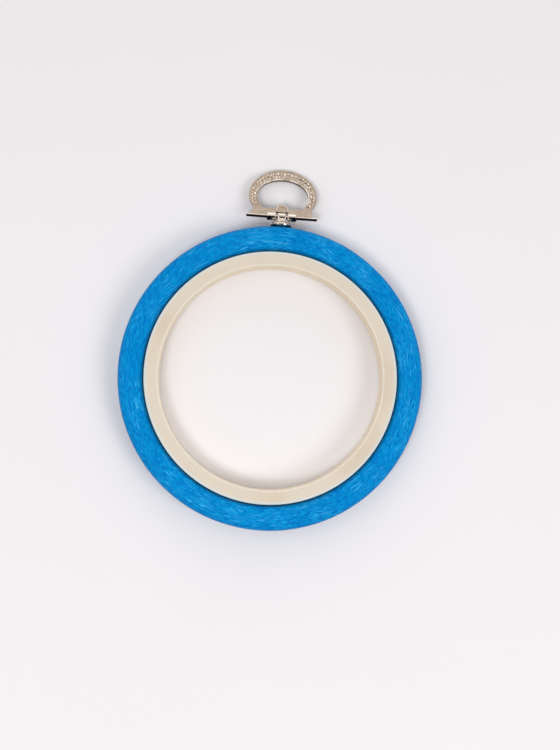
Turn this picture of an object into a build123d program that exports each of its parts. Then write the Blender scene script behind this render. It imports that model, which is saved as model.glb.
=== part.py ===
from build123d import *
from math import asin, atan2, cos, degrees, hypot, radians, sin, sqrt
import os

# Embroidery hoop: a soft outer ring stretched over a rigid inner ring, with a hinged hanging
# loop on the rim. All lengths are in millimetres. The origin is the centre of the stitching
# opening, half way through the hoop's thickness. +Z leaves the front of the hoop, and +Y runs
# along the post that carries the loop.

# Inner hoop, a rigid ring with a lip round its face
opening_diameter = 74.8
inner_wall = 4.2
inner_hoop_height = 9.4
lip_overhang = 0.7
lip_thickness = 1.8
face_inner_round = 0.45
lip_round = 0.45
inner_back_round = 0.5

# Outer hoop, a soft ring with a crowned front and a flat back
hoop_thickness = 10.0
outer_wall = 9.2
crown_rise = 0.5
front_outer_round = 2.0
front_inner_round = 1.3
back_outer_round = 2.0
back_inner_round = 1.2

# How the two hoops fit
cloth_room = 0.2
lip_room = 0.3
lip_seat_gap = 0.02
face_drop = 0.3

# Base cup, the polished ferrule that stands on the rim and narrows towards it
cup_diameter = 7.5
cup_base_diameter = 6.6
cup_thickness = 1.7
cup_edge_height = 1.0
cup_edge_round = 0.2
cup_seat_gap = 0.02

# Hanger post: a spigot in the rim, a domed collar and an eye for the hinge pin
spigot_diameter = 3.4
spigot_length = 4.0
spigot_clearance = 0.05
spigot_end_room = 0.3
collar_diameter = 5.6
collar_top_diameter = 4.2
collar_height = 0.7
collar_edge_height = 0.3
collar_running_gap = 0.03
eye_diameter = 2.8
eye_width = 3.0
eye_end_round = 0.45
eye_neck_depth = 1.9
eye_neck_width = 2.7
eye_room = 0.12

# Hinge pin, a rod that stands out past both feet of the loop
pin_diameter = 1.25
pin_overhang = 1.95
pin_end_round = 0.18
pin_running_clearance = 0.04
pin_press_clearance = 0.01

# Hanging loop, one casting: an oval ring on two feet, a half rosette and two knuckles
loop_width = 23.2
loop_height = 17.3
loop_widest_height = 7.5
loop_lower_reach = 8.1
loop_thickness = 1.4
foot_inset = 1.5
foot_height = 0.3
side_band_width = 3.0
top_band_width = 3.75
eyelet_lower_reach = 7.7
sill_height = 2.8
eyelet_corner_round = 0.7
outer_rim_width = 0.55
inner_rim_width = 0.5
panel_depth = 0.25
loop_edge_round = 0.18
foot_corner_round = 0.3
knuckle_diameter = 2.6
knuckle_width = 3.0
knuckle_end_round = 0.25
knuckle_side_gap = 0.5
knuckle_room = 0.15
rest_gap = 0.03

# Half rosette at the foot of the loop
rosette_diameter = 4.6
rosette_centre_height = 1.95
rosette_rise = 0.15
rosette_rim_width = 0.75
rosette_bead_diameter = 0.6
rosette_bead_count = 9

# Fixing screw and its washer, in a recess in the bore of the outer hoop
screw_diameter = 2.0
screw_length = 8.0
screw_head_diameter = 3.6
screw_head_height = 1.2
screw_head_round = 0.35
screw_slot_width = 0.5
screw_slot_depth = 0.6
screw_thread_clearance = 0.02
screw_hole_clearance = 0.15
tapped_depth_room = 0.4
washer_diameter = 4.3
washer_thickness = 0.4
washer_bore_clearance = 0.08
washer_gap = 0.02
recess_side_room = 0.35
recess_depth = 2.6

# How far a cutting shape runs past what it cuts
overrun = 0.5

# Sizes that follow from the ones above
opening_radius = opening_diameter / 2
inner_wall_radius = opening_radius + inner_wall
lip_radius = inner_wall_radius + lip_overhang
outer_bore_radius = inner_wall_radius + cloth_room
rebate_radius = lip_radius + lip_room
rim_radius = outer_bore_radius + outer_wall
front_z = hoop_thickness / 2
back_z = -front_z
shoulder_z = front_z - crown_rise
face_z = front_z - face_drop
lip_under_z = face_z - lip_thickness
rebate_z = lip_under_z - lip_seat_gap
inner_back_z = face_z - inner_hoop_height

# Places along +Y on the axis of the post
cup_base_y = rim_radius + cup_seat_gap
cup_top_y = cup_base_y + cup_thickness
collar_base_y = cup_top_y + collar_running_gap
collar_top_y = collar_base_y + collar_height
hinge_y = collar_top_y + knuckle_room + knuckle_diameter / 2
spigot_end_y = rim_radius - spigot_length
recess_diameter = washer_diameter + 2 * recess_side_room
recess_floor_y = outer_bore_radius + recess_depth
washer_outer_y = recess_floor_y - washer_gap
washer_inner_y = washer_outer_y - washer_thickness
head_under_y = washer_inner_y - washer_gap
screw_tip_y = head_under_y + screw_length
tapped_end_y = screw_tip_y + tapped_depth_room

# Sizes of the loop, in its own flat frame: X along the hinge pin, Y away from it, Z its front
loop_half_width = loop_width / 2
loop_upper_reach = loop_height - loop_widest_height
eyelet_half_width = loop_half_width - side_band_width
eyelet_upper_reach = loop_upper_reach - top_band_width
loop_front = loop_thickness / 2
foot_half_spread = loop_half_width - foot_inset
foot_spread = 2 * foot_half_spread
foot_crossing_share = sqrt(max(0, 1 - (foot_half_spread / loop_half_width) ** 2))
foot_top = loop_widest_height - loop_lower_reach * foot_crossing_share
eye_notch_half_width = eye_width / 2 + knuckle_side_gap
eye_notch_height = eye_diameter / 2 + eye_room
pin_length = foot_spread + 2 * pin_overhang


def droop_angle():
    """The tilt at which the loop's far back edge comes down to the plane of the hoop's back."""
    reach = loop_height - loop_edge_round
    depth = loop_front - loop_edge_round
    fall = -back_z - rest_gap - loop_edge_round
    return degrees(asin(fall / hypot(reach, depth)) - atan2(depth, reach))


def rounded_profile(outline, corners):
    """Rounds the outline's corners, each given as (x, y, radius)."""
    face = make_face(outline)
    for x, y, radius in corners:
        corner = face.vertices().sort_by_distance(Vector(x, y))[0]
        face = fillet(corner, radius)
    return face


def lathe_about_z(face):
    """Turns a profile drawn as (radius, height) about the hoop's own axis."""
    return revolve(Plane.XZ * face, Axis.Z)


def lathe_about_y(face):
    """Turns a profile drawn as (radius, place along +Y) about the axis of the post."""
    return revolve(face, Axis.Y)


def rod_along_y(diameter, start_y, end_y):
    """A round bar on the axis of the post."""
    middle = Pos(0, (start_y + end_y) / 2, 0)
    return middle * Rot(90, 0, 0) * Cylinder(diameter / 2, end_y - start_y)


def rod_along_x(diameter, length):
    """A round bar on the hinge axis, centred on the post."""
    return Rot(0, 90, 0) * Cylinder(diameter / 2, length)


def make_outer_hoop():
    """Soft ring: crowned front, flat back, a rebate for the lip and the holes for the hanger."""
    crown_radius = (rim_radius + rebate_radius) / 2
    crown = ThreePointArc(
        (rim_radius, shoulder_z), (crown_radius, front_z), (rebate_radius, shoulder_z)
    )
    sides = Polyline(
        (rebate_radius, shoulder_z),
        (rebate_radius, rebate_z),
        (outer_bore_radius, rebate_z),
        (outer_bore_radius, back_z),
        (rim_radius, back_z),
        (rim_radius, shoulder_z),
    )
    profile = rounded_profile(
        crown + sides,
        [
            (rim_radius, shoulder_z, front_outer_round),
            (rebate_radius, shoulder_z, front_inner_round),
            (outer_bore_radius, back_z, back_inner_round),
            (rim_radius, back_z, back_outer_round),
        ],
    )
    hole_diameter = spigot_diameter + 2 * spigot_clearance
    screw_hole_diameter = screw_diameter + 2 * screw_hole_clearance
    ring = lathe_about_z(profile)
    ring -= rod_along_y(hole_diameter, spigot_end_y - spigot_end_room, rim_radius + overrun)
    ring -= rod_along_y(screw_hole_diameter, outer_bore_radius - overrun, rim_radius)
    ring -= rod_along_y(recess_diameter, outer_bore_radius - overrun, recess_floor_y)
    return ring


def make_inner_hoop():
    """Rigid ring whose lip sits in the rebate of the outer hoop."""
    outline = Polyline(
        (opening_radius, inner_back_z),
        (inner_wall_radius, inner_back_z),
        (inner_wall_radius, lip_under_z),
        (lip_radius, lip_under_z),
        (lip_radius, face_z),
        (opening_radius, face_z),
        close=True,
    )
    profile = rounded_profile(
        outline,
        [
            (opening_radius, inner_back_z, inner_back_round),
            (inner_wall_radius, inner_back_z, inner_back_round),
            (lip_radius, face_z, lip_round),
            (opening_radius, face_z, face_inner_round),
        ],
    )
    return lathe_about_z(profile)


def make_base_cup():
    """Low ferrule with a domed top and a wall that narrows towards the rim, bored for the spigot."""
    bore_radius = spigot_diameter / 2 + spigot_clearance
    shoulder_y = cup_base_y + cup_edge_height
    bell = EllipticalCenterArc(
        (collar_diameter / 2, shoulder_y),
        cup_diameter / 2 - collar_diameter / 2,
        cup_top_y - shoulder_y,
        arc_size=90,
    )
    sides = Polyline(
        (collar_diameter / 2, cup_top_y),
        (bore_radius, cup_top_y),
        (bore_radius, cup_base_y),
        (cup_base_diameter / 2, cup_base_y),
        (cup_diameter / 2, shoulder_y),
    )
    profile = rounded_profile(bell + sides, [(cup_base_diameter / 2, cup_base_y, cup_edge_round)])
    return lathe_about_y(profile)


def make_hanger_post():
    """Turned post: spigot, domed collar and the eye that the hinge pin runs through."""
    edge_y = collar_base_y + collar_edge_height
    dome = EllipticalCenterArc(
        (collar_top_diameter / 2, edge_y),
        collar_diameter / 2 - collar_top_diameter / 2,
        collar_top_y - edge_y,
        arc_size=90,
    )
    sides = Polyline(
        (collar_top_diameter / 2, collar_top_y),
        (0, collar_top_y),
        (0, spigot_end_y),
        (spigot_diameter / 2, spigot_end_y),
        (spigot_diameter / 2, collar_base_y),
        (collar_diameter / 2, collar_base_y),
        (collar_diameter / 2, edge_y),
    )
    neck = Pos(0, (edge_y + hinge_y) / 2, 0) * Box(
        eye_neck_width, hinge_y - edge_y, eye_neck_depth
    )
    eye = rod_along_x(eye_diameter, eye_width)
    eye = fillet(eye.edges().filter_by(GeomType.CIRCLE), eye_end_round)
    hole = rod_along_x(pin_diameter + 2 * pin_running_clearance, eye_width + 2 * overrun)
    thread = screw_diameter + 2 * screw_thread_clearance
    post = lathe_about_y(make_face(dome + sides)) + neck + Pos(0, hinge_y, 0) * eye
    post -= Pos(0, hinge_y, 0) * hole
    post -= rod_along_y(thread, spigot_end_y - overrun, tapped_end_y)
    return post


def oval(half_width, upper_reach, lower_reach):
    """An oval whose upper and lower halves are half ellipses that meet at the widest line."""
    centre = (0, loop_widest_height)
    upper = EllipticalCenterArc(centre, half_width, upper_reach, 0, arc_size=180)
    lower = EllipticalCenterArc(centre, half_width, lower_reach, 180, arc_size=180)
    return make_face(upper + lower)


def band_above(height):
    """The part of the loop's plane that lies further than this height from the hinge axis."""
    span = loop_width + 2 * overrun
    rise = loop_height + overrun - height
    return Pos(0, height + rise / 2) * Rectangle(span, rise)


def panel_outline():
    """The sunken band of the ring, between its outer and inner rims and above its feet."""
    outside = oval(
        loop_half_width - outer_rim_width,
        loop_upper_reach - outer_rim_width,
        loop_lower_reach - outer_rim_width,
    )
    inside = oval(
        eyelet_half_width + inner_rim_width,
        eyelet_upper_reach + inner_rim_width,
        eyelet_lower_reach + inner_rim_width,
    )
    return (outside - inside) & band_above(foot_top)


def loop_outline():
    """Flat outline of the loop: ring, feet, sill, half rosette and the notch for the eye."""
    ring = oval(loop_half_width, loop_upper_reach, loop_lower_reach) & band_above(foot_height)
    feet_height = foot_top - foot_height
    feet = Pos(0, foot_height + feet_height / 2) * Rectangle(foot_spread, feet_height)
    feet = fillet(feet.vertices().group_by(Axis.Y)[0], foot_corner_round)
    eyelet = oval(eyelet_half_width, eyelet_upper_reach, eyelet_lower_reach)
    eyelet = eyelet & band_above(sill_height)
    low_corners = eyelet.vertices().group_by(Axis.Y)[0]
    eyelet = fillet(low_corners, eyelet_corner_round)
    rosette = Pos(0, rosette_centre_height) * Circle(rosette_diameter / 2)
    notch_height = eye_notch_height + overrun
    notch = Pos(0, eye_notch_height - notch_height / 2)
    notch *= Rectangle(2 * eye_notch_half_width, notch_height)
    return ring + feet - eyelet + (rosette & band_above(eye_notch_height)) - notch


def make_rosette():
    """Raised half ring with beads on it, on the face of the loop's half rosette."""
    outer = Circle(rosette_diameter / 2)
    inner = Circle(rosette_diameter / 2 - rosette_rim_width)
    rim = (Pos(0, rosette_centre_height) * (outer - inner)) & band_above(eye_notch_height)
    raised = extrude(Pos(0, 0, loop_front) * rim, rosette_rise)
    bead_path_radius = rosette_diameter / 2 - rosette_rim_width / 2
    for index in range(rosette_bead_count):
        angle = radians(180 * index / (rosette_bead_count - 1))
        bead_x = bead_path_radius * cos(angle)
        bead_y = rosette_centre_height + bead_path_radius * sin(angle)
        bead = Sphere(rosette_bead_diameter / 2)
        raised += Pos(bead_x, bead_y, loop_front + rosette_rise) * bead
    return raised


def make_knuckles():
    """The two outer knuckles of the hinge, one on each side of the post's eye."""
    knuckle = rod_along_x(knuckle_diameter, knuckle_width)
    knuckle = fillet(knuckle.edges().filter_by(GeomType.CIRCLE), knuckle_end_round)
    middle_x = eye_notch_half_width + knuckle_width / 2
    return Pos(middle_x, 0, 0) * knuckle + Pos(-middle_x, 0, 0) * knuckle


def make_flat_loop():
    """The casting, lying flat in its own frame with the hinge axis through the origin."""
    plate = extrude(loop_outline(), loop_front, both=True)
    levels = plate.edges().group_by(Axis.Z)
    plate = fillet(levels[0] + levels[-1], loop_edge_round)
    panel = extrude(Pos(0, 0, loop_front - panel_depth) * panel_outline(), panel_depth + overrun)
    casting = plate - panel + make_rosette() + make_knuckles()
    bore = pin_diameter + 2 * pin_press_clearance
    return casting - rod_along_x(bore, pin_length)


def make_fixing_screw():
    """Slotted screw that comes from the bore of the hoop into the post."""
    head_face_y = head_under_y - screw_head_height
    head = rod_along_y(screw_head_diameter, head_face_y, head_under_y)
    head = fillet(head.edges().group_by(Axis.Y)[0], screw_head_round)
    slot_middle_y = head_face_y + (screw_slot_depth - overrun) / 2
    slot = Box(screw_head_diameter + overrun, screw_slot_depth + overrun, screw_slot_width)
    shank = rod_along_y(screw_diameter, head_under_y, screw_tip_y)
    return head - Pos(0, slot_middle_y, 0) * slot + shank


def make_screw_washer():
    """Flat washer between the screw's head and the floor of the recess."""
    disc = rod_along_y(washer_diameter, washer_inner_y, washer_outer_y)
    bore = screw_diameter + 2 * washer_bore_clearance
    return disc - rod_along_y(bore, washer_inner_y - overrun, washer_outer_y + overrun)


def make_hinge_pin():
    """Rod with softly rounded ends."""
    rod = rod_along_x(pin_diameter, pin_length)
    return fillet(rod.edges().filter_by(GeomType.CIRCLE), pin_end_round)


hinge_place = Pos(0, hinge_y, 0) * Rot(-droop_angle(), 0, 0)

nodes = {
    "outer_hoop": make_outer_hoop(),
    "inner_hoop": make_inner_hoop(),
    "hanger_loop": hinge_place * make_flat_loop(),
    "hinge_pin": hinge_place * make_hinge_pin(),
    "hanger_post": make_hanger_post(),
    "base_cup": make_base_cup(),
    "fixing_screw": make_fixing_screw(),
    "screw_washer": make_screw_washer(),
}

os.makedirs("parts", exist_ok=True)
for name, solid in nodes.items():
    export_step(solid, f"parts/{name}.step")

print("hinge axis at y", round(hinge_y, 3), "droop", round(droop_angle(), 3), "degrees")
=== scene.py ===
# Embroidery hoop: the looks of a soft blue ring, a cream ring inside it and a hinged metal
# hanging loop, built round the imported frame. In the dictionaries lengths are in millimetres and
# colours are display values from 0 to 255. A mask is 0 at its first value and 1 at its second
# one; where it has four, it gives the third and the fourth value there instead.
import bpy
import math
import numpy as np
from mathutils import Matrix, Vector


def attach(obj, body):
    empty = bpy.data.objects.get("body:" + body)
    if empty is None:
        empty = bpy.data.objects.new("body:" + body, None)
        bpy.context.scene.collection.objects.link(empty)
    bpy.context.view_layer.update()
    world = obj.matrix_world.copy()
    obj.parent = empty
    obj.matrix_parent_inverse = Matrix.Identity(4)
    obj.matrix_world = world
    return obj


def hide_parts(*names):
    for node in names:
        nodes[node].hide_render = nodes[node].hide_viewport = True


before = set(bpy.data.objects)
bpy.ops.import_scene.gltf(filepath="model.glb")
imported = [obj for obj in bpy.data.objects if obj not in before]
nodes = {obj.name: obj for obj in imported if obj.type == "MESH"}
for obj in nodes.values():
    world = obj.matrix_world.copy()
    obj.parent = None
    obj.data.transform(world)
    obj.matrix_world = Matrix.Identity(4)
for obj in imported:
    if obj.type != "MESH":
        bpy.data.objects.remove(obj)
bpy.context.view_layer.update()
mm = 0.001
print("frame loaded:", len(nodes), "nodes")


# Mesh helpers

def arcPoints(centre, radius, start, end, steps):
    # Circular arc: centre plus radius times (cos, sin) of an angle that runs from start to end.
    angle = np.radians(np.linspace(start, end, steps))
    across, up = centre[0] + radius * np.cos(angle), centre[1] + radius * np.sin(angle)
    return np.stack([across, up], axis=1)


def evenSection(points, spacing):
    # Closed section resampled by its own length: corners stay, and long sides get points between
    # them no further apart than spacing. Doubled points are dropped.
    closed = np.vstack([points, points[:1]])
    gaps = np.hypot(*np.diff(closed, axis=0).T)
    apart = gaps > 1e-6
    closed, gaps = closed[np.concatenate([[True], apart])], gaps[apart]
    counts = np.maximum(1, np.ceil(gaps / spacing).astype(int))
    along = np.concatenate([[0], np.cumsum(gaps)])
    places = np.concatenate(
        [along[i] + gaps[i] * np.arange(n) / n for i, n in enumerate(counts)]
    )
    return np.stack([np.interp(places, along, closed[:, axis]) for axis in (0, 1)], axis=1)


def gridFaces(rows, columns):
    # Quads of a grid that closes on itself in both directions.
    row, column = np.meshgrid(np.arange(rows), np.arange(columns), indexing="ij")
    nextRow, nextColumn = (row + 1) % rows, (column + 1) % columns
    corners = [row * columns + column, nextRow * columns + column,
               nextRow * columns + nextColumn, row * columns + nextColumn]
    return np.stack([c.ravel() for c in corners], axis=1)


def gridUv(rows, columns):
    # One texture place for each corner of each quad, from 0 to 1 both ways, with no jump at the
    # seam.
    row, column = np.meshgrid(np.arange(rows), np.arange(columns), indexing="ij")
    corners = [(row, column), (row + 1, column), (row + 1, column + 1), (row, column + 1)]
    places = [np.stack([(a / rows).ravel(), (b / columns).ravel()], axis=1) for a, b in corners]
    return np.stack(places, axis=1).reshape(-1, 2)


def signedVolume(points, quads):
    # Sum of the tetrahedra from the origin to both halves of every quad: above 0 if faces look out.
    a, b, c, d = (points[quads[:, k]] for k in range(4))
    halves = np.einsum("ij,ij->i", a, np.cross(b, c)) + np.einsum("ij,ij->i", a, np.cross(c, d))
    return halves.sum() / 6


def gridPiece(name, points, rows, columns, capEnds=False):
    # Mesh of a tube whose sections are the rows. With capEnds the last row isn't joined to the
    # first one, and a flat face closes each end.
    quads, uv = gridFaces(rows, columns), gridUv(rows, columns)
    caps = []
    if capEnds:
        keep = (rows - 1) * columns
        quads, uv = quads[:keep], uv[:keep * 4]
        caps = [list(range(columns)), list(range(rows * columns - 1, keep - 1, -1))]
    if signedVolume(points, quads) < 0:
        quads, caps = quads[:, ::-1], [cap[::-1] for cap in caps]
        uv = uv.reshape(-1, 4, 2)[:, ::-1].reshape(-1, 2)
    mesh = bpy.data.meshes.new(name)
    mesh.from_pydata((points * mm).tolist(), [], quads.tolist() + caps)
    layer = mesh.uv_layers.new(name="SurfaceMap")
    places = np.zeros((len(mesh.loops), 2), np.float32)
    places[:len(uv)] = uv
    layer.data.foreach_set("uv", places.ravel())
    mesh.shade_smooth()
    piece = bpy.data.objects.new(name, mesh)
    bpy.context.scene.collection.objects.link(piece)
    return piece


def sharpenBy(mesh, degreesLimit):
    mesh.set_sharp_from_angle(angle=math.radians(degreesLimit))


def latheAboutZ(name, section, segments, wobble=None):
    # Ring: every point (r, z) of the section goes to (r cos a, r sin a, z) at each angle a.
    angle = np.linspace(0, 2 * np.pi, segments, endpoint=False)[:, None]
    radius, height = section[None, :, 0], section[None, :, 1]
    if wobble is not None:
        radius, height = wobble(angle, radius, height)
    axes = np.broadcast_arrays(radius * np.cos(angle), radius * np.sin(angle), height)
    points = np.stack(axes, axis=2)
    return gridPiece(name, points.reshape(-1, 3), segments, section.shape[0])


def latheAboutY(name, section, segments):
    # Closed turned body: every point (r, y) of the section goes to (r sin a, y, r cos a), and a
    # flat face closes each end.
    angle = np.linspace(0, 2 * np.pi, segments, endpoint=False)
    radius, along = section[:, :1], section[:, 1:]
    axes = np.broadcast_arrays(radius * np.sin(angle), along, radius * np.cos(angle))
    points = np.stack(axes, axis=2)
    return gridPiece(name, points.reshape(-1, 3), section.shape[0], segments, capEnds=True)


# Shader helpers

def addNode(tree, kind, inputs=None, **settings):
    made = tree.nodes.new(kind)
    for key, value in settings.items():
        setattr(made, key, value)
    for key, value in (inputs or {}).items():
        if isinstance(value, bpy.types.NodeSocket):
            tree.links.new(value, made.inputs[key])
        else:
            made.inputs[key].default_value = value
    return made


def calc(tree, operation, first, second=0.0):
    return addNode(tree, "ShaderNodeMath", {0: first, 1: second}, operation=operation).outputs[0]


def ramp(tree, value, low, high, toLow=0.0, toHigh=1.0):
    # Smooth step from low to high.
    return addNode(tree, "ShaderNodeMapRange", {
        "Value": value, "From Min": low, "From Max": high, "To Min": toLow, "To Max": toHigh,
    }, interpolation_type="SMOOTHSTEP").outputs["Result"]


def mixColour(tree, factor, first, second, blend="MIX"):
    return addNode(tree, "ShaderNodeMix", {
        0: factor, 6: first, 7: second,
    }, data_type="RGBA", blend_type=blend).outputs[2]


def linearColour(red, green, blue):
    # Display values turned into the linear values that Blender mixes.
    share = np.array([red, green, blue]) / 255
    linear = np.where(share <= 0.04045, share / 12.92, ((share + 0.055) / 1.055) ** 2.4)
    return (*linear.tolist(), 1.0)


def newMaterial(name):
    material = bpy.data.materials.new(name)
    material.use_nodes = True
    tree = material.node_tree
    tree.nodes.clear()
    shader = addNode(tree, "ShaderNodeBsdfPrincipled")
    output = addNode(tree, "ShaderNodeOutputMaterial")
    tree.links.new(shader.outputs["BSDF"], output.inputs["Surface"])
    return material, tree, shader


def newGroup(name, inputs, outputs):
    group = bpy.data.node_groups.new(name, "ShaderNodeTree")
    for socketName, kind, value in inputs:
        socket = group.interface.new_socket(name=socketName, in_out="INPUT", socket_type=kind)
        if value is not None:
            socket.default_value = value
    for socketName, kind in outputs:
        group.interface.new_socket(name=socketName, in_out="OUTPUT", socket_type=kind)
    return group, addNode(group, "NodeGroupInput").outputs, addNode(group, "NodeGroupOutput")


def placeGroup(tree, group, **inputs):
    return addNode(tree, "ShaderNodeGroup", inputs, node_tree=group).outputs


def bumpNormal(tree, height, strength, depth):
    made = addNode(tree, "ShaderNodeBump", {
        "Height": height, "Strength": strength, "Distance": depth * mm,
    })
    return made.outputs["Normal"]


def times(tree, *factors):
    # Product of all the factors.
    product = factors[0]
    for factor in factors[1:]:
        product = calc(tree, "MULTIPLY", product, factor)
    return product


def reachOf(tree, first, second):
    # Distance from an axis: sqrt(a^2 + b^2).
    squares = [times(tree, side, side) for side in (first, second)]
    return calc(tree, "SQRT", calc(tree, "ADD", *squares))


def noiseOf(tree, vector, size, detail):
    # Fractal noise with features of the given size, in the vector's own unit.
    return addNode(tree, "ShaderNodeTexNoise", {
        "Vector": vector, "Scale": 1 / size, "Detail": detail,
    }).outputs[0]


def paintOver(tree, colour, *layers):
    # Paints laid over the colour one after another, each where its mask is 1.
    for mask, paint in layers:
        colour = mixColour(tree, mask, colour, linearColour(*paint))
    return colour


def greyOf(tree, tone):
    return addNode(tree, "ShaderNodeCombineColor", {0: tone, 1: tone, 2: tone}).outputs[0]


def shadeBy(tree, colour, tone):
    return mixColour(tree, 1.0, colour, greyOf(tree, tone), "MULTIPLY")


def objectPlace(tree):
    return addNode(tree, "ShaderNodeTexCoord").outputs["Object"]


def inMillimetres(tree, place):
    # Object coordinates in millimetres, as one vector and as its X, Y and Z.
    vector = addNode(tree, "ShaderNodeVectorMath", {
        0: place, "Scale": 1 / mm,
    }, operation="SCALE").outputs[0]
    return vector, addNode(tree, "ShaderNodeSeparateXYZ", {"Vector": vector}).outputs


# Shared effects

noiseSpan = (0.3, 0.7)  # nearly all of a fractal noise lies between these
scuffCut = {"turn": (0.3, 0.2, 0.7), "lines": (0.66, 0.76), "patches": (0.5, 0.62)}


def makeMottleGroup():
    # Slow tone change over a surface: fractal noise on the object's own coordinates, spread
    # round 1, and a finer noise of the same place as Grain.
    group, given, result = newGroup(
        "toneMottle",
        [("Vector", "NodeSocketVector", None), ("Size", "NodeSocketFloat", 8.0),
         ("Spread", "NodeSocketFloat", 0.05), ("GrainSize", "NodeSocketFloat", 0.3)],
        [("Tone", "NodeSocketFloat"), ("Grain", "NodeSocketFloat")],
    )
    slow = addNode(group, "ShaderNodeTexNoise", {
        "Vector": given["Vector"], "Detail": 3.0,
        "Scale": calc(group, "DIVIDE", 1 / mm, given["Size"]),
    })
    centred = calc(group, "SUBTRACT", slow.outputs[0], 0.5)
    spread = times(group, centred, times(group, given["Spread"], 4.0))  # noise strays by 1/4
    group.links.new(calc(group, "ADD", spread, 1.0), result.inputs["Tone"])
    fine = addNode(group, "ShaderNodeTexNoise", {
        "Vector": given["Vector"], "Detail": 4.0, "Roughness": 0.6,
        "Scale": calc(group, "DIVIDE", 1 / mm, given["GrainSize"]),
    })
    group.links.new(fine.outputs[0], result.inputs["Grain"])
    return group


def makeScuffGroup():
    # Thin handling marks: noise stretched along one direction, cut to its peaks, and kept to
    # patches where a slow noise is high.
    group, given, result = newGroup(
        "handlingScuffs",
        [("Vector", "NodeSocketVector", None), ("Width", "NodeSocketFloat", 0.15),
         ("Length", "NodeSocketFloat", 3.0), ("Patches", "NodeSocketFloat", 9.0)],
        [("Mask", "NodeSocketFloat")],
    )
    turned = addNode(group, "ShaderNodeMapping", {
        "Vector": given["Vector"], "Rotation": scuffCut["turn"],
    })
    parts = addNode(group, "ShaderNodeSeparateXYZ", {"Vector": turned.outputs[0]}).outputs
    acrossScale = calc(group, "DIVIDE", 1 / mm, given["Width"])
    alongScale = calc(group, "DIVIDE", 1 / mm, given["Length"])
    stretched = addNode(group, "ShaderNodeCombineXYZ", {
        0: times(group, parts[0], alongScale),
        1: times(group, parts[1], acrossScale),
        2: times(group, parts[2], alongScale),
    }).outputs[0]
    patches = addNode(group, "ShaderNodeTexNoise", {
        "Vector": given["Vector"], "Detail": 1.0,
        "Scale": calc(group, "DIVIDE", 1 / mm, given["Patches"]),
    })
    mask = times(group, ramp(group, noiseOf(group, stretched, 1.0, 1.0), *scuffCut["lines"]),
                 ramp(group, patches.outputs[0], *scuffCut["patches"]))
    group.links.new(mask, result.inputs["Mask"])
    return group


mottleGroup = makeMottleGroup()
scuffGroup = makeScuffGroup()


# Blue ring

outerHoop = {
    "boreRadius": 41.8, "rebateRadius": 42.6, "rimRadius": 51.0, "rebateHeight": 2.88,
    "shoulderHeight": 4.5, "crownRise": 0.5, "backHeight": -5.0,
    "frontInnerRound": 1.3, "frontOuterRound": 2.0, "backInnerRound": 1.2, "backOuterRound": 2.0,
    "innerSteps": 9, "crownSteps": 12, "outerSteps": 11,
    "segments": 768, "spacing": 0.45, "sharpAngle": 35,
}
hangerHoles = {
    "recessRadius": 2.5, "recessFloor": 44.4, "screwHoleRadius": 1.15, "spigotHoleRadius": 1.75,
    "spigotHoleEnd": 46.7, "start": 41.3, "end": 51.5, "segments": 96,
}
sway = {
    "depth": 0.035, "reach": 4.0, "hangerAngle": np.pi / 2, "hangerCalm": 0.2,
    "waves": ((5, 0.6, 1.0), (9, 2.1, 0.7), (14, 4.0, 0.5)),  # count, phase and weight
    "frontCalm": 0.5, "frontDip": 0.6,
}
blueVinyl = {
    "base": (0, 129, 198), "cyan": (0, 139, 203), "deep": (0, 115, 192), "dark": (0, 97, 170),
    "light": (30, 163, 227), "bright": (86, 193, 240),
    "fine": (0.17, 1.8, 2.0), "broad": (0.221, 4.68, 1.0),  # streak width, length and detail
    "cloud": (0.54, 1.8, 1.0), "sweep": 1.7, "sweepSize": 8.0, "patchSize": 7.0,
    "cyanClouds": (0.5, 0.62), "deepClouds": (0.5, 0.38), "dense": (0.4, 0.62, 0.3, 1.0),
    "lightStreaks": (0.52, 0.64), "darkStreaks": (0.48, 0.34), "darkShare": 0.8,
    "strokes": (0.6, 0.7), "strokePatches": (0.42, 0.6), "strokeShare": 0.66,
    "mottle": {"Size": 12.0, "Spread": 0.05, "GrainSize": 0.25},
    "scuffs": {"Width": 0.14, "Length": 2.5, "Patches": 14.0}, "scuffShare": 0.3,
    "grooveRadii": (43.9, 42.9), "grooveShade": 0.39,
    "wallHeights": (3.9, 2.9), "wallShade": 0.25,
    "crownRadius": 46.8, "crownReach": (3.6, 1.4), "crownLight": 0.045,
    "roughness": (0.41, 0.56), "specular": 0.2, "specularTint": (0.12, 0.6, 1.0, 1.0),  # linear
    "broadGrain": 0.8, "grainStrength": 0.5, "grainDepth": 0.03,
}


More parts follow.
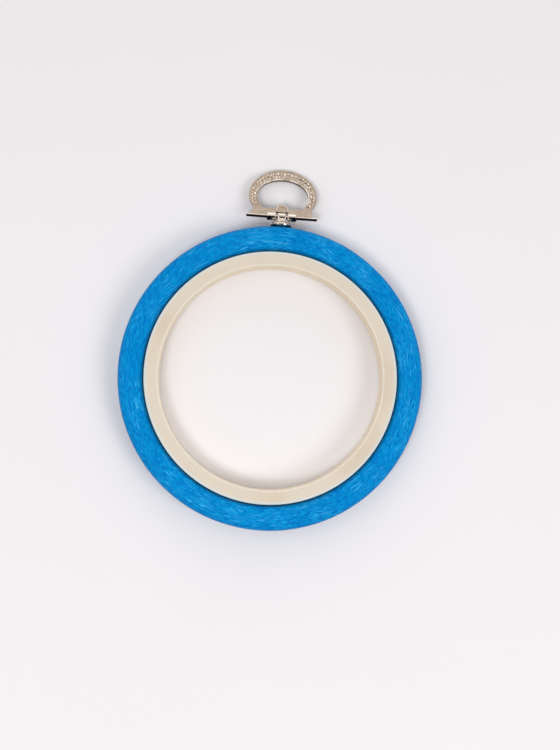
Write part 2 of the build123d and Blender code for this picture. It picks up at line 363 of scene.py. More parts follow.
def outerSection(size):
    # Section of the ring as (radius, height): a crown that is one long arc between the rebate and
    # the rim, with every corner an arc tangent to its neighbours.
    middle = (size["rimRadius"] + size["rebateRadius"]) / 2
    half = (size["rimRadius"] - size["rebateRadius"]) / 2
    crownRadius = (half ** 2 + size["crownRise"] ** 2) / (2 * size["crownRise"])
    crownCentre = size["shoulderHeight"] + size["crownRise"] - crownRadius

    def cornerOnCrown(centreRadius, rounding):
        reach = crownRadius - rounding
        height = crownCentre + math.sqrt(reach ** 2 - (centreRadius - middle) ** 2)
        return height, math.degrees(math.atan2(height - crownCentre, centreRadius - middle))

    outerX = size["rimRadius"] - size["frontOuterRound"]
    innerX = size["rebateRadius"] + size["frontInnerRound"]
    outerZ, outerAngle = cornerOnCrown(outerX, size["frontOuterRound"])
    innerZ, innerAngle = cornerOnCrown(innerX, size["frontInnerRound"])
    back = size["backHeight"]
    return np.vstack([
        arcPoints((innerX, innerZ), size["frontInnerRound"], 180, innerAngle, size["innerSteps"]),
        arcPoints((middle, crownCentre), crownRadius, innerAngle, outerAngle, size["crownSteps"]),
        arcPoints((outerX, outerZ), size["frontOuterRound"], outerAngle, 0, size["outerSteps"]),
        arcPoints((size["rimRadius"] - size["backOuterRound"], back + size["backOuterRound"]),
                  size["backOuterRound"], 0, -90, size["outerSteps"]),
        arcPoints((size["boreRadius"] + size["backInnerRound"], back + size["backInnerRound"]),
                  size["backInnerRound"], 270, 180, size["innerSteps"]),
        [(size["boreRadius"], size["rebateHeight"]), (size["rebateRadius"], size["rebateHeight"])],
    ])


def softSway(angle, radius, height):
    # Soft vinyl is never quite true: slow waves round the ring, largest on the outside and none
    # at the bore, sway the wall by a few hundredths of a millimetre. They die out near the hanger.
    outward = np.clip((radius - outerHoop["rebateRadius"]) / sway["reach"], 0, 1)
    calm = 1 - np.exp(-((angle - sway["hangerAngle"]) / sway["hangerCalm"]) ** 2)
    wave = sum(weight * np.sin(count * angle + phase) for count, phase, weight in sway["waves"])
    wave /= sum(weight for count, phase, weight in sway["waves"])
    change = sway["depth"] * outward * calm * (wave - 1)
    front = np.clip(height / -outerHoop["backHeight"], 0, 1)
    inward, dip = 1 - sway["frontCalm"] * front, sway["frontDip"] * front
    return radius + change * inward, height + change * dip


def cutHangerHoles(ring):
    # Spigot hole, screw hole and recess, cut along +Y by one turned body.
    size = hangerHoles
    cutter = latheAboutY("hangerHoleCutter", np.array([
        (size["recessRadius"], size["start"]),
        (size["recessRadius"], size["recessFloor"]),
        (size["screwHoleRadius"], size["recessFloor"]),
        (size["screwHoleRadius"], size["spigotHoleEnd"]),
        (size["spigotHoleRadius"], size["spigotHoleEnd"]),
        (size["spigotHoleRadius"], size["end"]),
    ]), size["segments"])
    modifier = ring.modifiers.new("hangerHoles", "BOOLEAN")
    modifier.operation, modifier.solver, modifier.object = "DIFFERENCE", "EXACT", cutter
    bpy.context.view_layer.update()
    evaluated = ring.evaluated_get(bpy.context.evaluated_depsgraph_get())
    cutMesh = bpy.data.meshes.new_from_object(evaluated)
    ring.modifiers.clear()
    ring.data = cutMesh
    bpy.data.objects.remove(cutter)
    sharpenBy(cutMesh, outerHoop["sharpAngle"])


def makeBlueVinyl(look):
    # Wood-grain streaks: 4D noise of (cos a, sin a, r, z), stretched round the ring. A slow noise
    # bends the radius, so that streaks sweep across the ring, and another one gathers them in
    # patches. Clouds of cyan and of deeper blue lie under them. The groove and the lower wall get a
    # painted shade, and the top of the crown a faint painted highlight.
    material, tree, shader = newMaterial("blueVinyl")
    place = objectPlace(tree)
    inMm, (x, y, z) = inMillimetres(tree, place)
    radius = reachOf(tree, x, y)
    bend = calc(tree, "SUBTRACT", noiseOf(tree, inMm, look["sweepSize"], 1.0), 0.5)
    bentRadius = calc(tree, "ADD", radius, times(tree, bend, look["sweep"] * 2))

    def streakNoise(width, length, detail):
        around = outerHoop["rimRadius"] / length
        vector = addNode(tree, "ShaderNodeCombineXYZ", {
            0: times(tree, calc(tree, "DIVIDE", x, radius), around),
            1: times(tree, calc(tree, "DIVIDE", y, radius), around),
            2: calc(tree, "DIVIDE", bentRadius, width),
        }).outputs[0]
        return addNode(tree, "ShaderNodeTexNoise", {
            "Vector": vector, "W": calc(tree, "DIVIDE", z, width), "Scale": 1.0,
            "Detail": detail, "Roughness": 0.6,
        }, noise_dimensions="4D").outputs[0]

    fine, broad = streakNoise(*look["fine"]), streakNoise(*look["broad"])
    cloud = streakNoise(*look["cloud"])
    patches = noiseOf(tree, inMm, look["patchSize"], 2.0)
    tone = placeGroup(tree, mottleGroup, Vector=place, **look["mottle"])["Tone"]
    scuffs = placeGroup(tree, scuffGroup, Vector=place, **look["scuffs"])["Mask"]
    light = times(tree, ramp(tree, fine, *look["lightStreaks"]),
                  ramp(tree, patches, *look["dense"]))
    dark = times(tree, ramp(tree, fine, *look["darkStreaks"]), look["darkShare"])
    strokes = times(tree, ramp(tree, broad, *look["strokes"]),
                    ramp(tree, patches, *look["strokePatches"]), look["strokeShare"])
    colour = paintOver(
        tree, linearColour(*look["base"]),
        (ramp(tree, cloud, *look["cyanClouds"]), look["cyan"]),
        (ramp(tree, cloud, *look["deepClouds"]), look["deep"]),
        (dark, look["dark"]), (light, look["light"]), (strokes, look["bright"]),
        (times(tree, scuffs, look["scuffShare"]), look["light"]),
    )
    # Painted shade in the groove and on the lower wall, and a faint painted highlight along the
    # crown.
    groove = times(tree, ramp(tree, radius, *look["grooveRadii"]), look["grooveShade"])
    wall = times(tree, ramp(tree, z, *look["wallHeights"]), look["wallShade"])
    offCrown = calc(tree, "ABSOLUTE", calc(tree, "SUBTRACT", radius, look["crownRadius"]))
    crown = ramp(tree, offCrown, *look["crownReach"], 1.0, 1.0 + look["crownLight"])
    shade = calc(tree, "SUBTRACT", crown, calc(tree, "MAXIMUM", groove, wall))
    colour = shadeBy(tree, shadeBy(tree, colour, tone), shade)
    tree.links.new(colour, shader.inputs["Base Color"])
    tree.links.new(ramp(tree, fine, *noiseSpan, *look["roughness"]), shader.inputs["Roughness"])
    shader.inputs["Specular IOR Level"].default_value = look["specular"]
    shader.inputs["Specular Tint"].default_value = look["specularTint"]
    height = calc(tree, "ADD", fine, times(tree, broad, look["broadGrain"]))
    normal = bumpNormal(tree, height, look["grainStrength"], look["grainDepth"])
    tree.links.new(normal, shader.inputs["Normal"])
    return material


blueSection = evenSection(outerSection(outerHoop), outerHoop["spacing"])
blueRing = latheAboutZ("blue_ring", blueSection, outerHoop["segments"], softSway)
cutHangerHoles(blueRing)
blueRing.data.materials.clear()
blueRing.data.materials.append(makeBlueVinyl(blueVinyl))
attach(blueRing, "outer_ring")
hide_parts("outer_hoop")
print("blue ring:", len(blueRing.data.polygons), "faces")


# Cream ring

innerHoop = {
    "openingRadius": 37.4, "wallRadius": 41.6, "lipRadius": 42.3, "faceHeight": 4.7,
    "lipUnder": 2.9, "backHeight": -4.7, "faceInnerRound": 0.45, "lipRound": 0.45,
    "backRound": 0.5, "roundSteps": 8, "segments": 768, "spacing": 0.6, "sharpAngle": 40,
}
creamPlastic = {
    # edge, lip and wall are painted light: highlights on the face's edges and a paler opening wall.
    "base": (220, 207, 189), "shade": (213, 197, 176), "edge": (233, 222, 205),
    "lip": (210, 222, 224), "wall": (238, 221, 194), "scuff": (231, 226, 215),
    "flowSize": 22.0, "flow": (0.45, 0.75), "faceHeights": (4.25, 4.4, 0.0, 0.8),
    "edgeRadii": (38.2, 37.9), "lipRadii": (41.2, 41.85),
    "wallRadii": (37.6, 37.45), "wallHeights": (4.35, 4.1),
    "mottle": {"Size": 16.0, "Spread": 0.02, "GrainSize": 0.22},
    "scuffs": {"Width": 0.12, "Length": 4.0, "Patches": 10.0}, "scuffShare": 0.1,
    "roughness": (0.36, 0.46), "scuffRoughness": 0.12, "specular": 0.4,
    "grainStrength": 0.4, "grainDepth": 0.006,
}


def innerSection(size):
    # Section of the ring as (radius, height): straight walls with tangent arcs at the corners.
    def corner(radius, height, rounding, start, signs):
        centre = (radius - signs[0] * rounding, height - signs[1] * rounding)
        return arcPoints(centre, rounding, start, start - 90, size["roundSteps"])

    return np.vstack([
        corner(size["openingRadius"], size["faceHeight"], size["faceInnerRound"], 180, (-1, 1)),
        corner(size["lipRadius"], size["faceHeight"], size["lipRound"], 90, (1, 1)),
        [(size["lipRadius"], size["lipUnder"]), (size["wallRadius"], size["lipUnder"])],
        corner(size["wallRadius"], size["backHeight"], size["backRound"], 0, (1, -1)),
        corner(size["openingRadius"], size["backHeight"], size["backRound"], -90, (-1, -1)),
    ])


def makeCreamPlastic(look):
    # Moulded plastic: slow tone change, a trace of flow round the ring and fine handling scuffs.
    # The wall of the opening and the inner edge of the face are painted paler than the face, as
    # painted light and a painted highlight, and the outer edge of the lip gets a cooler painted
    # highlight, by masks of radius and height.
    material, tree, shader = newMaterial("creamPlastic")
    place = objectPlace(tree)
    inMm, (x, y, z) = inMillimetres(tree, place)
    radius = reachOf(tree, x, y)
    tone = placeGroup(tree, mottleGroup, Vector=place, **look["mottle"])
    scuffs = placeGroup(tree, scuffGroup, Vector=place, **look["scuffs"])["Mask"]
    flow = ramp(tree, noiseOf(tree, inMm, look["flowSize"], 2.0), *look["flow"])
    onFace = ramp(tree, z, *look["faceHeights"])
    wall = times(tree, ramp(tree, radius, *look["wallRadii"]),
                 ramp(tree, z, *look["wallHeights"]))
    colour = paintOver(tree, linearColour(*look["base"]), (flow, look["shade"]))
    # Painted light on the opening's wall and painted highlights on the face's inner edge and the
    # lip's outer edge; the scuffs are wear.
    colour = paintOver(
        tree, shadeBy(tree, colour, tone["Tone"]),
        (wall, look["wall"]),
        (times(tree, ramp(tree, radius, *look["edgeRadii"]), onFace), look["edge"]),
        (times(tree, ramp(tree, radius, *look["lipRadii"]), onFace), look["lip"]),
        (times(tree, scuffs, look["scuffShare"]), look["scuff"]),
    )
    tree.links.new(colour, shader.inputs["Base Color"])
    rough = calc(tree, "ADD", times(tree, scuffs, look["scuffRoughness"]),
                 ramp(tree, tone["Grain"], *noiseSpan, *look["roughness"]))
    tree.links.new(rough, shader.inputs["Roughness"])
    shader.inputs["Specular IOR Level"].default_value = look["specular"]
    normal = bumpNormal(tree, tone["Grain"], look["grainStrength"], look["grainDepth"])
    tree.links.new(normal, shader.inputs["Normal"])
    return material


creamSection = evenSection(innerSection(innerHoop), innerHoop["spacing"])
creamRing = latheAboutZ("cream_ring", creamSection, innerHoop["segments"])
sharpenBy(creamRing.data, innerHoop["sharpAngle"])
creamRing.data.materials.append(makeCreamPlastic(creamPlastic))
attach(creamRing, "inner_ring")
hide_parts("inner_hoop")
print("cream ring:", len(creamRing.data.polygons), "faces")


# Hanging loop: the casting's own frame and the beaded relief in its sunken panel

hinge = {"y": 54.9, "droop": 14.5}
loopShape = {
    "halfWidth": 11.6, "upperReach": 9.8, "lowerReach": 8.1, "widestHeight": 7.5,
    "eyeletHalfWidth": 8.6, "eyeletUpperReach": 6.05, "eyeletLowerReach": 7.7,
    "outerRim": 0.55, "innerRim": 0.5, "panelTop": 0.45, "footTop": 3.52,
}
beading = {
    "pitch": 1.2, "beadRows": (0.25, 0.75), "beadRadii": (0.27, 0.48), "beadHeights": (0.16, 0.36),
    "pitRow": 0.5, "pitRadii": (0.2, 0.38), "pitDepths": (0.14, 0.24), "jitter": 0.15, "seed": 11,
    "grainHeight": 0.03, "grainX": (9.7, 1.9, 5.1), "grainY": (10.3, 1.7, 4.3),
    "edgeFade": 0.25, "bedHeight": 0.18, "sunk": 0.1, "edgeRoom": 0.06, "endRoom": 0.05,
    "alongSteps": 620, "acrossSteps": 34, "sharpAngle": 60,
}


def loopToHoop(points):
    # From the loop's flat frame (X along the pin, Y away from it, Z its front) to the hoop's:
    # a turn about X by minus the droop, then a move along Y to the hinge.
    turn = math.radians(-hinge["droop"])
    x, y, z = points[..., 0], points[..., 1], points[..., 2]
    return np.stack([x, hinge["y"] + y * math.cos(turn) - z * math.sin(turn),
                     y * math.sin(turn) + z * math.cos(turn)], axis=-1)


def ovalPoint(angle, halfWidth, upperReach, lowerReach):
    # Oval of two half ellipses that share their widest line: (w cos a, h0 + reach sin a).
    reach = np.where(np.sin(angle) >= 0, upperReach, lowerReach)
    height = loopShape["widestHeight"] + reach * np.sin(angle)
    return np.stack([halfWidth * np.cos(angle), height], axis=-1)


def bandEdges(share, across, band):
    # Points of the panel's inner and outer oval at one angle, which runs evenly with the share
    # along the band, from the foot on one side to the foot on the other.
    start = band["innerStart"] + (band["outerStart"] - band["innerStart"]) * across
    angle = start + (np.pi - 2 * start) * share
    return ovalPoint(angle, *band["inner"]), ovalPoint(angle, *band["outer"])


def beadPlaces(along, share, band):
    # Beads in two rows and pits in one row between them, as rows of (x, y, radius, height). Steps
    # along the band are even in length. Each row starts as far into a step as its share across
    # the band, so that the rows are staggered, and a seeded jitter of places and sizes stands for
    # a hand-cut die.
    random = np.random.default_rng(beading["seed"])
    count = int(along[-1] // beading["pitch"])

    def rowPlaces(row, radii, heights):
        places = (np.arange(count) + row) / count * along[-1]
        inner, outer = bandEdges(np.interp(places, along, share), row, band)
        middle = inner * (1 - row) + outer * row
        middle += random.normal(0, beading["jitter"], middle.shape)
        sizes = [random.uniform(*span, count) for span in (radii, heights)]
        return np.column_stack([middle, *sizes])

    beads = [rowPlaces(row, beading["beadRadii"], beading["beadHeights"])
             for row in beading["beadRows"]]
    pits = rowPlaces(beading["pitRow"], beading["pitRadii"], beading["pitDepths"])
    return np.vstack(beads), pits


def beadedBand():
    # The panel is swept by an angle from one foot over the top to the other. Across it a share
    # runs from the inner rim to the outer one. Height is the highest of the beads there, domes of
    # sqrt(1 - d^2) in staggered rows, less the deepest of the punched pits between them, which are
    # such domes turned over, on a fine hammered ground of multiplied sine waves.
    shape, size = loopShape, beading
    inner = [shape[key] + shape["innerRim"] + size["edgeRoom"]
             for key in ("eyeletHalfWidth", "eyeletUpperReach", "eyeletLowerReach")]
    outer = [shape[key] - shape["outerRim"] - size["edgeRoom"]
             for key in ("halfWidth", "upperReach", "lowerReach")]
    foot = shape["footTop"] + size["endRoom"] - shape["widestHeight"]
    band = {
        "inner": inner, "outer": outer,
        "innerStart": math.asin(foot / inner[2]), "outerStart": math.asin(foot / outer[2]),
    }
    share = np.linspace(0, 1, size["alongSteps"])[:, None]
    across = np.linspace(0, 1, size["acrossSteps"])[None, :]
    innerPoint, outerPoint = bandEdges(share, across, band)
    flat = innerPoint + (outerPoint - innerPoint) * across[..., None]
    width = np.linalg.norm(outerPoint - innerPoint, axis=-1)
    middle = flat[:, size["acrossSteps"] // 2]
    along = np.concatenate([[0], np.cumsum(np.hypot(*np.diff(middle, axis=0).T))])
    beads, pits = beadPlaces(along, share[:, 0], band)
    x, y = flat[..., 0], flat[..., 1]

    def domes(places):
        highest = np.zeros(x.shape)
        for centreX, centreY, radius, height in places:
            offset = np.hypot(x - centreX, y - centreY) / radius
            highest = np.maximum(highest, height * np.sqrt(np.clip(1 - offset ** 2, 0, 1)))
        return highest

    def ripple(first, second, pace, swing, crossPace):
        return np.sin(first * pace + swing * np.sin(second * crossPace))

    grain = ripple(x, y, *size["grainX"]) * ripple(y, x, *size["grainY"])
    edge = np.clip(np.minimum(across, 1 - across) * width / size["edgeFade"], 0, 1)
    top = shape["panelTop"] + size["bedHeight"] + size["grainHeight"] * grain * edge + domes(beads)
    top -= domes(pits) * edge
    low = np.full_like(top[:, :1], shape["panelTop"] - size["sunk"])
    sides = ((flat, top), (flat[:, -1:], low), (flat[:, :1], low))  # beaded top, then its two feet
    points = np.concatenate(
        [np.concatenate([place, height[..., None]], axis=-1) for place, height in sides], axis=1
    )
    piece = gridPiece("loop_beading", loopToHoop(points).reshape(-1, 3), *points.shape[:2],
                      capEnds=True)
    sharpenBy(piece.data, size["sharpAngle"])
    return piece, len(beads)


loopBeading, beadCount = beadedBand()
print("loop beading:", beadCount, "beads,", len(loopBeading.data.polygons), "faces")


# Metals

castMetal = {
    "base": (217, 197, 178), "shade": (189, 168, 149), "bright": (250, 240, 228),
    "wall": (76, 62, 52), "dirt": (0.42, 0.6),
    "knuckleReach": (1.55, 1.35), "knuckleEnd": (5.1, 5.05),
    "raisedHeights": (0.66, 0.82), "raisedFrom": (4.0, 4.7, 0.4, 1.0), "raisedShare": 0.75,
    "upperFrom": (4.6, 5.4), "rimShares": (1.085, 1.06), "rimHeights": (0.5, 0.62),
    "rimHighlightPatches": (0.97, 1.04, 0.0, 0.95), "eyeletShadeShares": (1.035, 1.015),
    "hollowHeights": (0.2, 0.35), "hollowReach": (2.4, 3.4), "hollowShade": 0.65,
    "lowHeights": (0.6, 0.44), "lowShade": 0.2,
    "mottle": {"Size": 2.5, "Spread": 0.12, "GrainSize": 0.22},
    "scuffs": {"Width": 0.08, "Length": 1.2, "Patches": 3.0}, "scuffShare": 0.3,
    "grainSpan": (0.35, 0.65), "roughness": (0.32, 0.52), "raisedPolish": 0.12,
    "pitSize": 0.34, "pitShare": 0.8, "pitStrength": 0.6, "pitDepth": 0.05,
}
rosette = {
    "centreHeight": 1.95, "ringInside": (1.28, 1.45), "ringOutside": (2.5, 2.35),
    "shadeHeights": (1.0, 0.9, 0.0, 0.2), "highlightHeights": (0.94, 1.04, 0.0, 0.85),
}
polishedMetal = {"base": (246, 234, 223), "shade": (228, 212, 198), "roughness": (0.07, 0.11)}
plainSteel = {"base": (190, 192, 194), "shade": (150, 152, 156), "roughness": (0.3, 0.34)}
turnedMetal = {
    "stretch": {"x": (30, 9000, 9000), "y": (1200, 14000, 1200)},  # noise steps per metre
    "lines": (0.3, 0.6), "lineStrength": 0.2, "lineDepth": 0.002,
    "mottle": {"Size": 3.0, "Spread": 0.05, "GrainSize": 0.15},
    "scuffs": {"Width": 0.06, "Length": 0.9, "Patches": 2.0}, "scuffRoughness": 0.12,
}
# Painted dark reflections on the pin and the knuckles' outer ends, a painted dark-teal reflection
# at the foot of the cup, and painted shade under the collar.
paintedDark = {
    "colour": (44, 34, 40), "cupFootReflection": (34, 66, 78), "creviceShade": (70, 56, 46),
    "knuckleEdge": (-0.3, -0.6), "knuckleEnds": (2.6, 4.1, 0.4, 1.0), "pinEdge": (0.0, -0.14),
    "cupEdge": (51.9, 51.65), "collarEdge": (53.0, 52.8), "extraRoughness": 0.25,
}


def loopPlace(tree, place):
    # Object coordinates turned into the loop's flat frame, as X, Y and Z in millimetres.
    moved = addNode(tree, "ShaderNodeVectorMath", {
        0: place, 1: (0, -hinge["y"] * mm, 0),
    }, operation="ADD").outputs[0]
    flat = addNode(tree, "ShaderNodeMapping", {
        "Vector": moved, "Rotation": (math.radians(hinge["droop"]), 0, 0),
        "Scale": (1 / mm, 1 / mm, 1 / mm),
    }).outputs[0]
    return addNode(tree, "ShaderNodeSeparateXYZ", {"Vector": flat}).outputs


def eyeletShare(tree, x, y):
    # How far out a place is, in shares of the eyelet's oval:
    # sqrt((x / w)^2 + ((y - h0) / reach)^2).
    above = calc(tree, "SUBTRACT", y, loopShape["widestHeight"])
    up = calc(tree, "DIVIDE", above, loopShape["eyeletUpperReach"])
    down = calc(tree, "DIVIDE", above, -loopShape["eyeletLowerReach"])
    across = calc(tree, "DIVIDE", x, loopShape["eyeletHalfWidth"])
    return reachOf(tree, across, calc(tree, "MAXIMUM", up, down))


def makeCastMetal(look):
    # Cast champagne metal: pitted and matt on the loop, polished round the hinge. A mask of the
    # distance from the hinge axis joins both, and the raised rims and bead tops are rubbed bright.
    # The pits, the panel bed, the low walls and the wall inside the eyelet get a dark painted
    # shade, and the eyelet's upper inner rim a painted highlight in patches. The rosette's ring has
    # painted shade between its beads and a painted highlight on their tops, and the outer ends of
    # the knuckles a painted dark reflection on the side that looks away from the loop.
    material, tree, shader = newMaterial("castMetal")
    place = objectPlace(tree)
    x, y, z = loopPlace(tree, place)
    tone = placeGroup(tree, mottleGroup, Vector=place, **look["mottle"])
    scuffs = placeGroup(tree, scuffGroup, Vector=place, **look["scuffs"])["Mask"]
    pits = addNode(tree, "ShaderNodeTexVoronoi", {
        "Vector": place, "Scale": 1 / (look["pitSize"] * mm),
    }).outputs["Distance"]
    fromHinge, sideways = reachOf(tree, y, z), calc(tree, "ABSOLUTE", x)
    knuckle = times(tree, ramp(tree, fromHinge, *look["knuckleReach"]),
                    ramp(tree, sideways, *look["knuckleEnd"]))
    # Painted dark reflection on the outer ends of the knuckles, on the side away from the loop.
    darkKnuckleReflection = times(tree, ramp(tree, y, *paintedDark["knuckleEdge"]),
                    ramp(tree, sideways, *paintedDark["knuckleEnds"]), knuckle)
    raised = times(tree, ramp(tree, z, *look["raisedHeights"]),
                   ramp(tree, y, *look["raisedFrom"]))
    outward, upper = eyeletShare(tree, x, y), ramp(tree, y, *look["upperFrom"])
    # Painted highlight along the eyelet's upper inner rim, broken into patches by the tone.
    rimHighlight = times(tree, ramp(tree, outward, *look["rimShares"]),
                   ramp(tree, z, *look["rimHeights"]), upper,
                   ramp(tree, tone["Tone"], *look["rimHighlightPatches"]))
    # Painted shade on the wall inside the eyelet, in the pits, on the panel bed and on the low
    # walls.
    eyeletShade = times(tree, ramp(tree, outward, *look["eyeletShadeShares"]), upper)
    hollow = times(tree, ramp(tree, z, *look["hollowHeights"]),
                   ramp(tree, fromHinge, *look["hollowReach"]))
    hollow = times(tree, calc(tree, "MAXIMUM", eyeletShade, hollow), look["hollowShade"])
    low = times(tree, ramp(tree, z, *look["lowHeights"]),
                calc(tree, "ADD", hollow, look["lowShade"]))
    # Painted shade between the rosette's beads and a painted highlight on their tops.
    fromRosette = reachOf(tree, x, calc(tree, "SUBTRACT", y, rosette["centreHeight"]))
    ring = times(tree, ramp(tree, fromRosette, *rosette["ringInside"]),
                 ramp(tree, fromRosette, *rosette["ringOutside"]))
    colour = paintOver(
        tree, linearColour(*look["shade"]),
        (ramp(tree, tone["Grain"], *look["dirt"]), look["base"]),
        (times(tree, raised, look["raisedShare"]), look["bright"]),
        (rimHighlight, look["bright"]), (low, look["wall"]),
        (times(tree, ring, ramp(tree, z, *rosette["shadeHeights"])), look["wall"]),
        (times(tree, ring, ramp(tree, z, *rosette["highlightHeights"])), look["bright"]),
        (knuckle, polishedMetal["base"]), (darkKnuckleReflection, paintedDark["colour"]),
        (times(tree, scuffs, look["scuffShare"]), look["bright"]),
    )
    tree.links.new(shadeBy(tree, colour, tone["Tone"]), shader.inputs["Base Color"])
    matt = ramp(tree, tone["Grain"], *look["grainSpan"], *look["roughness"])
    rubbed = calc(tree, "SUBTRACT", matt, times(tree, raised, look["raisedPolish"]))
    rough = addNode(tree, "ShaderNodeMix", {
        0: knuckle, 2: rubbed, 3: polishedMetal["roughness"][0],
    }).outputs[0]
    tree.links.new(rough, shader.inputs["Roughness"])
    shader.inputs["Metallic"].default_value = 1.0
    height = calc(tree, "ADD", tone["Grain"], times(tree, pits, look["pitShare"]))
    matted = times(tree, height, calc(tree, "SUBTRACT", 1.0, knuckle))
    normal = bumpNormal(tree, matted, look["pitStrength"], look["pitDepth"])
    tree.links.new(normal, shader.inputs["Normal"])
    return material


def makeTurnedMetal(name, look, linesAlong, darkPaint=None):
    # Turned or drawn metal: hair lines round or along the bar, from noise stretched along one
    # axis, over a slow tarnish. The last argument, if given, is a function that gives the mask and
    # colour of painted shade and painted dark reflections.
    size = turnedMetal
    material, tree, shader = newMaterial(name)
    place = objectPlace(tree)
    stretched = addNode(tree, "ShaderNodeMapping", {
        "Vector": place, "Scale": size["stretch"][linesAlong],
    }).outputs[0]
    lines = noiseOf(tree, stretched, 1.0, 2.0)
    tone = placeGroup(tree, mottleGroup, Vector=place, **size["mottle"])["Tone"]
    scuffs = placeGroup(tree, scuffGroup, Vector=place, **size["scuffs"])["Mask"]
    colour = paintOver(tree, linearColour(*look["shade"]),
                       (ramp(tree, lines, *size["lines"]), look["base"]))
    colour = shadeBy(tree, colour, tone)
    rough = calc(tree, "ADD", ramp(tree, lines, *noiseSpan, *look["roughness"]),
                 times(tree, scuffs, size["scuffRoughness"]))
    if darkPaint:
        mask, paint = darkPaint(tree, place)
        colour = paintOver(tree, colour, (mask, paint))
        rough = calc(tree, "ADD", rough, times(tree, mask, paintedDark["extraRoughness"]))
    tree.links.new(colour, shader.inputs["Base Color"])
    tree.links.new(rough, shader.inputs["Roughness"])
    shader.inputs["Metallic"].default_value = 1.0
    normal = bumpNormal(tree, lines, size["lineStrength"], size["lineDepth"])
    tree.links.new(normal, shader.inputs["Normal"])
    return material


def pinDarkReflection(tree, place):
    # Painted dark reflection along the side of the rod that looks away from the loop.
    return ramp(tree, loopPlace(tree, place)[1], *paintedDark["pinEdge"]), paintedDark["colour"]


def darkBelow(tree, place, edge):
    # 1 below the second height along the post, and 0 above the first one.
    along = inMillimetres(tree, place)[1][1]
    return ramp(tree, along, *edge)


def cupDarkReflection(tree, place):
    # Painted dark-teal reflection on the foot of the cup, where it narrows towards the rim.
    return darkBelow(tree, place, paintedDark["cupEdge"]), paintedDark["cupFootReflection"]


def collarCreviceShade(tree, place):
    # Painted shade in the crevice between the collar and the cup.
    return darkBelow(tree, place, paintedDark["collarEdge"]), paintedDark["creviceShade"]


def dressNode(name, material):
    mesh = nodes[name].data
    mesh.materials.clear()
    mesh.materials.append(material)


castMaterial = makeCastMetal(castMetal)
dressNode("hanger_loop", castMaterial)
loopBeading.data.materials.append(castMaterial)
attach(loopBeading, "loop")
dressNode("hanger_post", makeTurnedMetal("polishedTurnedMetal", polishedMetal, "y", collarCreviceShade))
dressNode("base_cup", makeTurnedMetal("polishedCupMetal", polishedMetal, "y", cupDarkReflection))
dressNode("hinge_pin", makeTurnedMetal("polishedDrawnRod", polishedMetal, "x", pinDarkReflection))
steelMaterial = makeTurnedMetal("zincSteel", plainSteel, "y")
dressNode("fixing_screw", steelMaterial)
dressNode("screw_washer", steelMaterial)
print("metals: 6 nodes dressed")


# Studio: pale floor, soft lights and the camera

studio = {
    "floorHeight": -5.0, "floorSize": 3000.0, "floorColour": (238, 235, 237),
    "floorMottle": {"Size": 60.0, "Spread": 0.006, "GrainSize": 0.5},
    "floorRoughness": 0.9, "floorSpecular": 0.1,
    "cameraPlace": (-15.5, -20.9, 400.0), "cameraTarget": (3.2, 1.3, 0.0),
    "cameraUp": (-0.0698, 0.9976, 0.0), "lens": 57.1, "sensor": 36.0, "clip": (10.0, 20000.0),
    "lights": {
        "topSoftbox": {
            "azimuth": 234, "elevation": 66, "distance": 900, "size": 280, "power": 2.6,
        },
        "rightSoftbox": {
            "azimuth": 330, "elevation": 47, "distance": 1000, "size": 440, "power": 2.8,
        },
        "leftSoftbox": {
            "azimuth": 168, "elevation": 52, "distance": 1000, "size": 440, "power": 0.5,
        },
    },
}
room = {  # masks over the X, Y or Z of a direction
    "strength": 0.6, "ceilingZ": (0.1, 0.7, 0.6, 1.12),
    "farWallY": (0.72, 0.86), "farWallZ": (-0.02, 0.06), "farWallLight": 1.4,
    "bandX": (0.36, 0.28), "bandY": (0.16, 0.1), "bandShade": 0.93,
}


def makeFloor():
    half, height = studio["floorSize"] / 2 * mm, studio["floorHeight"] * mm
    corners = [(half * x, half * y, height) for x, y in ((-1, -1), (1, -1), (1, 1), (-1, 1))]
    mesh = bpy.data.meshes.new("studioFloor")
    mesh.from_pydata(corners, [], [(0, 1, 2, 3)])
    floor = bpy.data.objects.new("studioFloor", mesh)
    bpy.context.scene.collection.objects.link(floor)
    material, tree, shader = newMaterial("paleFloor")
    tone = placeGroup(tree, mottleGroup, Vector=objectPlace(tree), **studio["floorMottle"])["Tone"]
    colour = shadeBy(tree, linearColour(*studio["floorColour"]), tone)
    tree.links.new(colour, shader.inputs["Base Color"])
    shader.inputs["Roughness"].default_value = studio["floorRoughness"]
    shader.inputs["Specular IOR Level"].default_value = studio["floorSpecular"]
    mesh.materials.append(material)


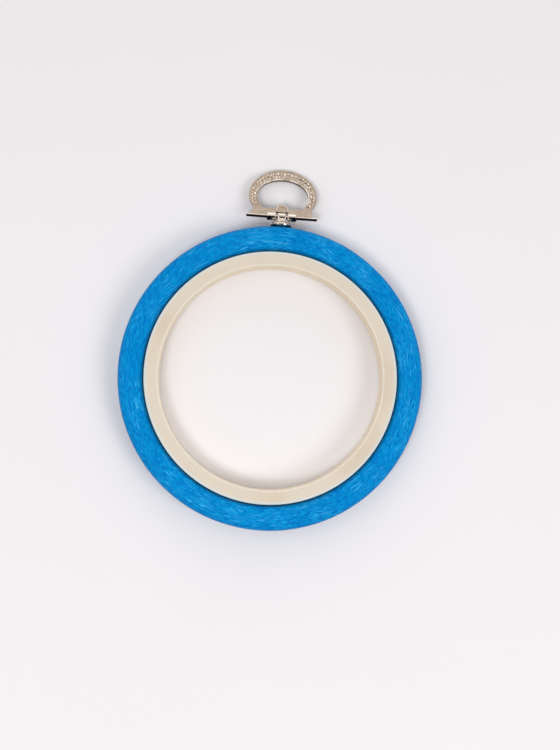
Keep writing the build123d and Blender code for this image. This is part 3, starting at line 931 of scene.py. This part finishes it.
def makeLight(name, setting):
    lamp = bpy.data.lights.new(name, "AREA")
    lamp.shape, lamp.size, lamp.energy = "SQUARE", setting["size"] * mm, setting["power"]
    light = bpy.data.objects.new(name, lamp)
    turn, rise = math.radians(setting["azimuth"]), math.radians(setting["elevation"])
    flat = math.cos(rise)
    direction = Vector((math.cos(turn) * flat, math.sin(turn) * flat, math.sin(rise)))
    light.location = direction * setting["distance"] * mm
    light.rotation_euler = (-direction).to_track_quat("-Z", "Y").to_euler()
    bpy.context.scene.collection.objects.link(light)


def makeWorld():
    # A bright ceiling over paler walls, with a bright wall low on the +Y side. A dark band runs
    # from overhead down to the -Y side, so that polished metal has something to show.
    world = bpy.data.worlds.new("softStudio")
    world.use_nodes = True
    tree = world.node_tree
    tree.nodes.clear()
    direction = addNode(tree, "ShaderNodeTexCoord").outputs["Generated"]
    x, y, z = addNode(tree, "ShaderNodeSeparateXYZ", {"Vector": direction}).outputs
    farWall = times(tree, ramp(tree, y, *room["farWallY"]), ramp(tree, z, *room["farWallZ"]),
                    room["farWallLight"])
    band = times(tree, ramp(tree, calc(tree, "ABSOLUTE", x), *room["bandX"]),
                 ramp(tree, y, *room["bandY"]), room["bandShade"])
    bright = calc(tree, "ADD", ramp(tree, z, *room["ceilingZ"]), farWall)
    tone = times(tree, bright, calc(tree, "SUBTRACT", 1.0, band))
    background = addNode(tree, "ShaderNodeBackground", {
        "Color": greyOf(tree, tone), "Strength": room["strength"],
    })
    output = addNode(tree, "ShaderNodeOutputWorld")
    tree.links.new(background.outputs[0], output.inputs["Surface"])
    bpy.context.scene.world = world


def makeCamera():
    # The image's axes from the view line and the photograph's up: right is up x back.
    place, target = Vector(studio["cameraPlace"]) * mm, Vector(studio["cameraTarget"]) * mm
    back = (place - target).normalized()
    right = Vector(studio["cameraUp"]).cross(back).normalized()
    up = back.cross(right)
    lens = bpy.data.cameras.new("photoCamera")
    lens.lens, lens.sensor_width, lens.sensor_fit = studio["lens"], studio["sensor"], "AUTO"
    lens.clip_start, lens.clip_end = (distance * mm for distance in studio["clip"])
    camera = bpy.data.objects.new("photoCamera", lens)
    turn = Matrix((right, up, back)).transposed().to_4x4()
    camera.matrix_world = Matrix.Translation(place) @ turn
    bpy.context.scene.collection.objects.link(camera)
    bpy.context.scene.camera = camera


makeFloor()
makeWorld()
for lightName, lightSetting in studio["lights"].items():
    makeLight(lightName, lightSetting)
makeCamera()
bpy.context.scene.view_settings.view_transform = "Standard"
print("studio ready")
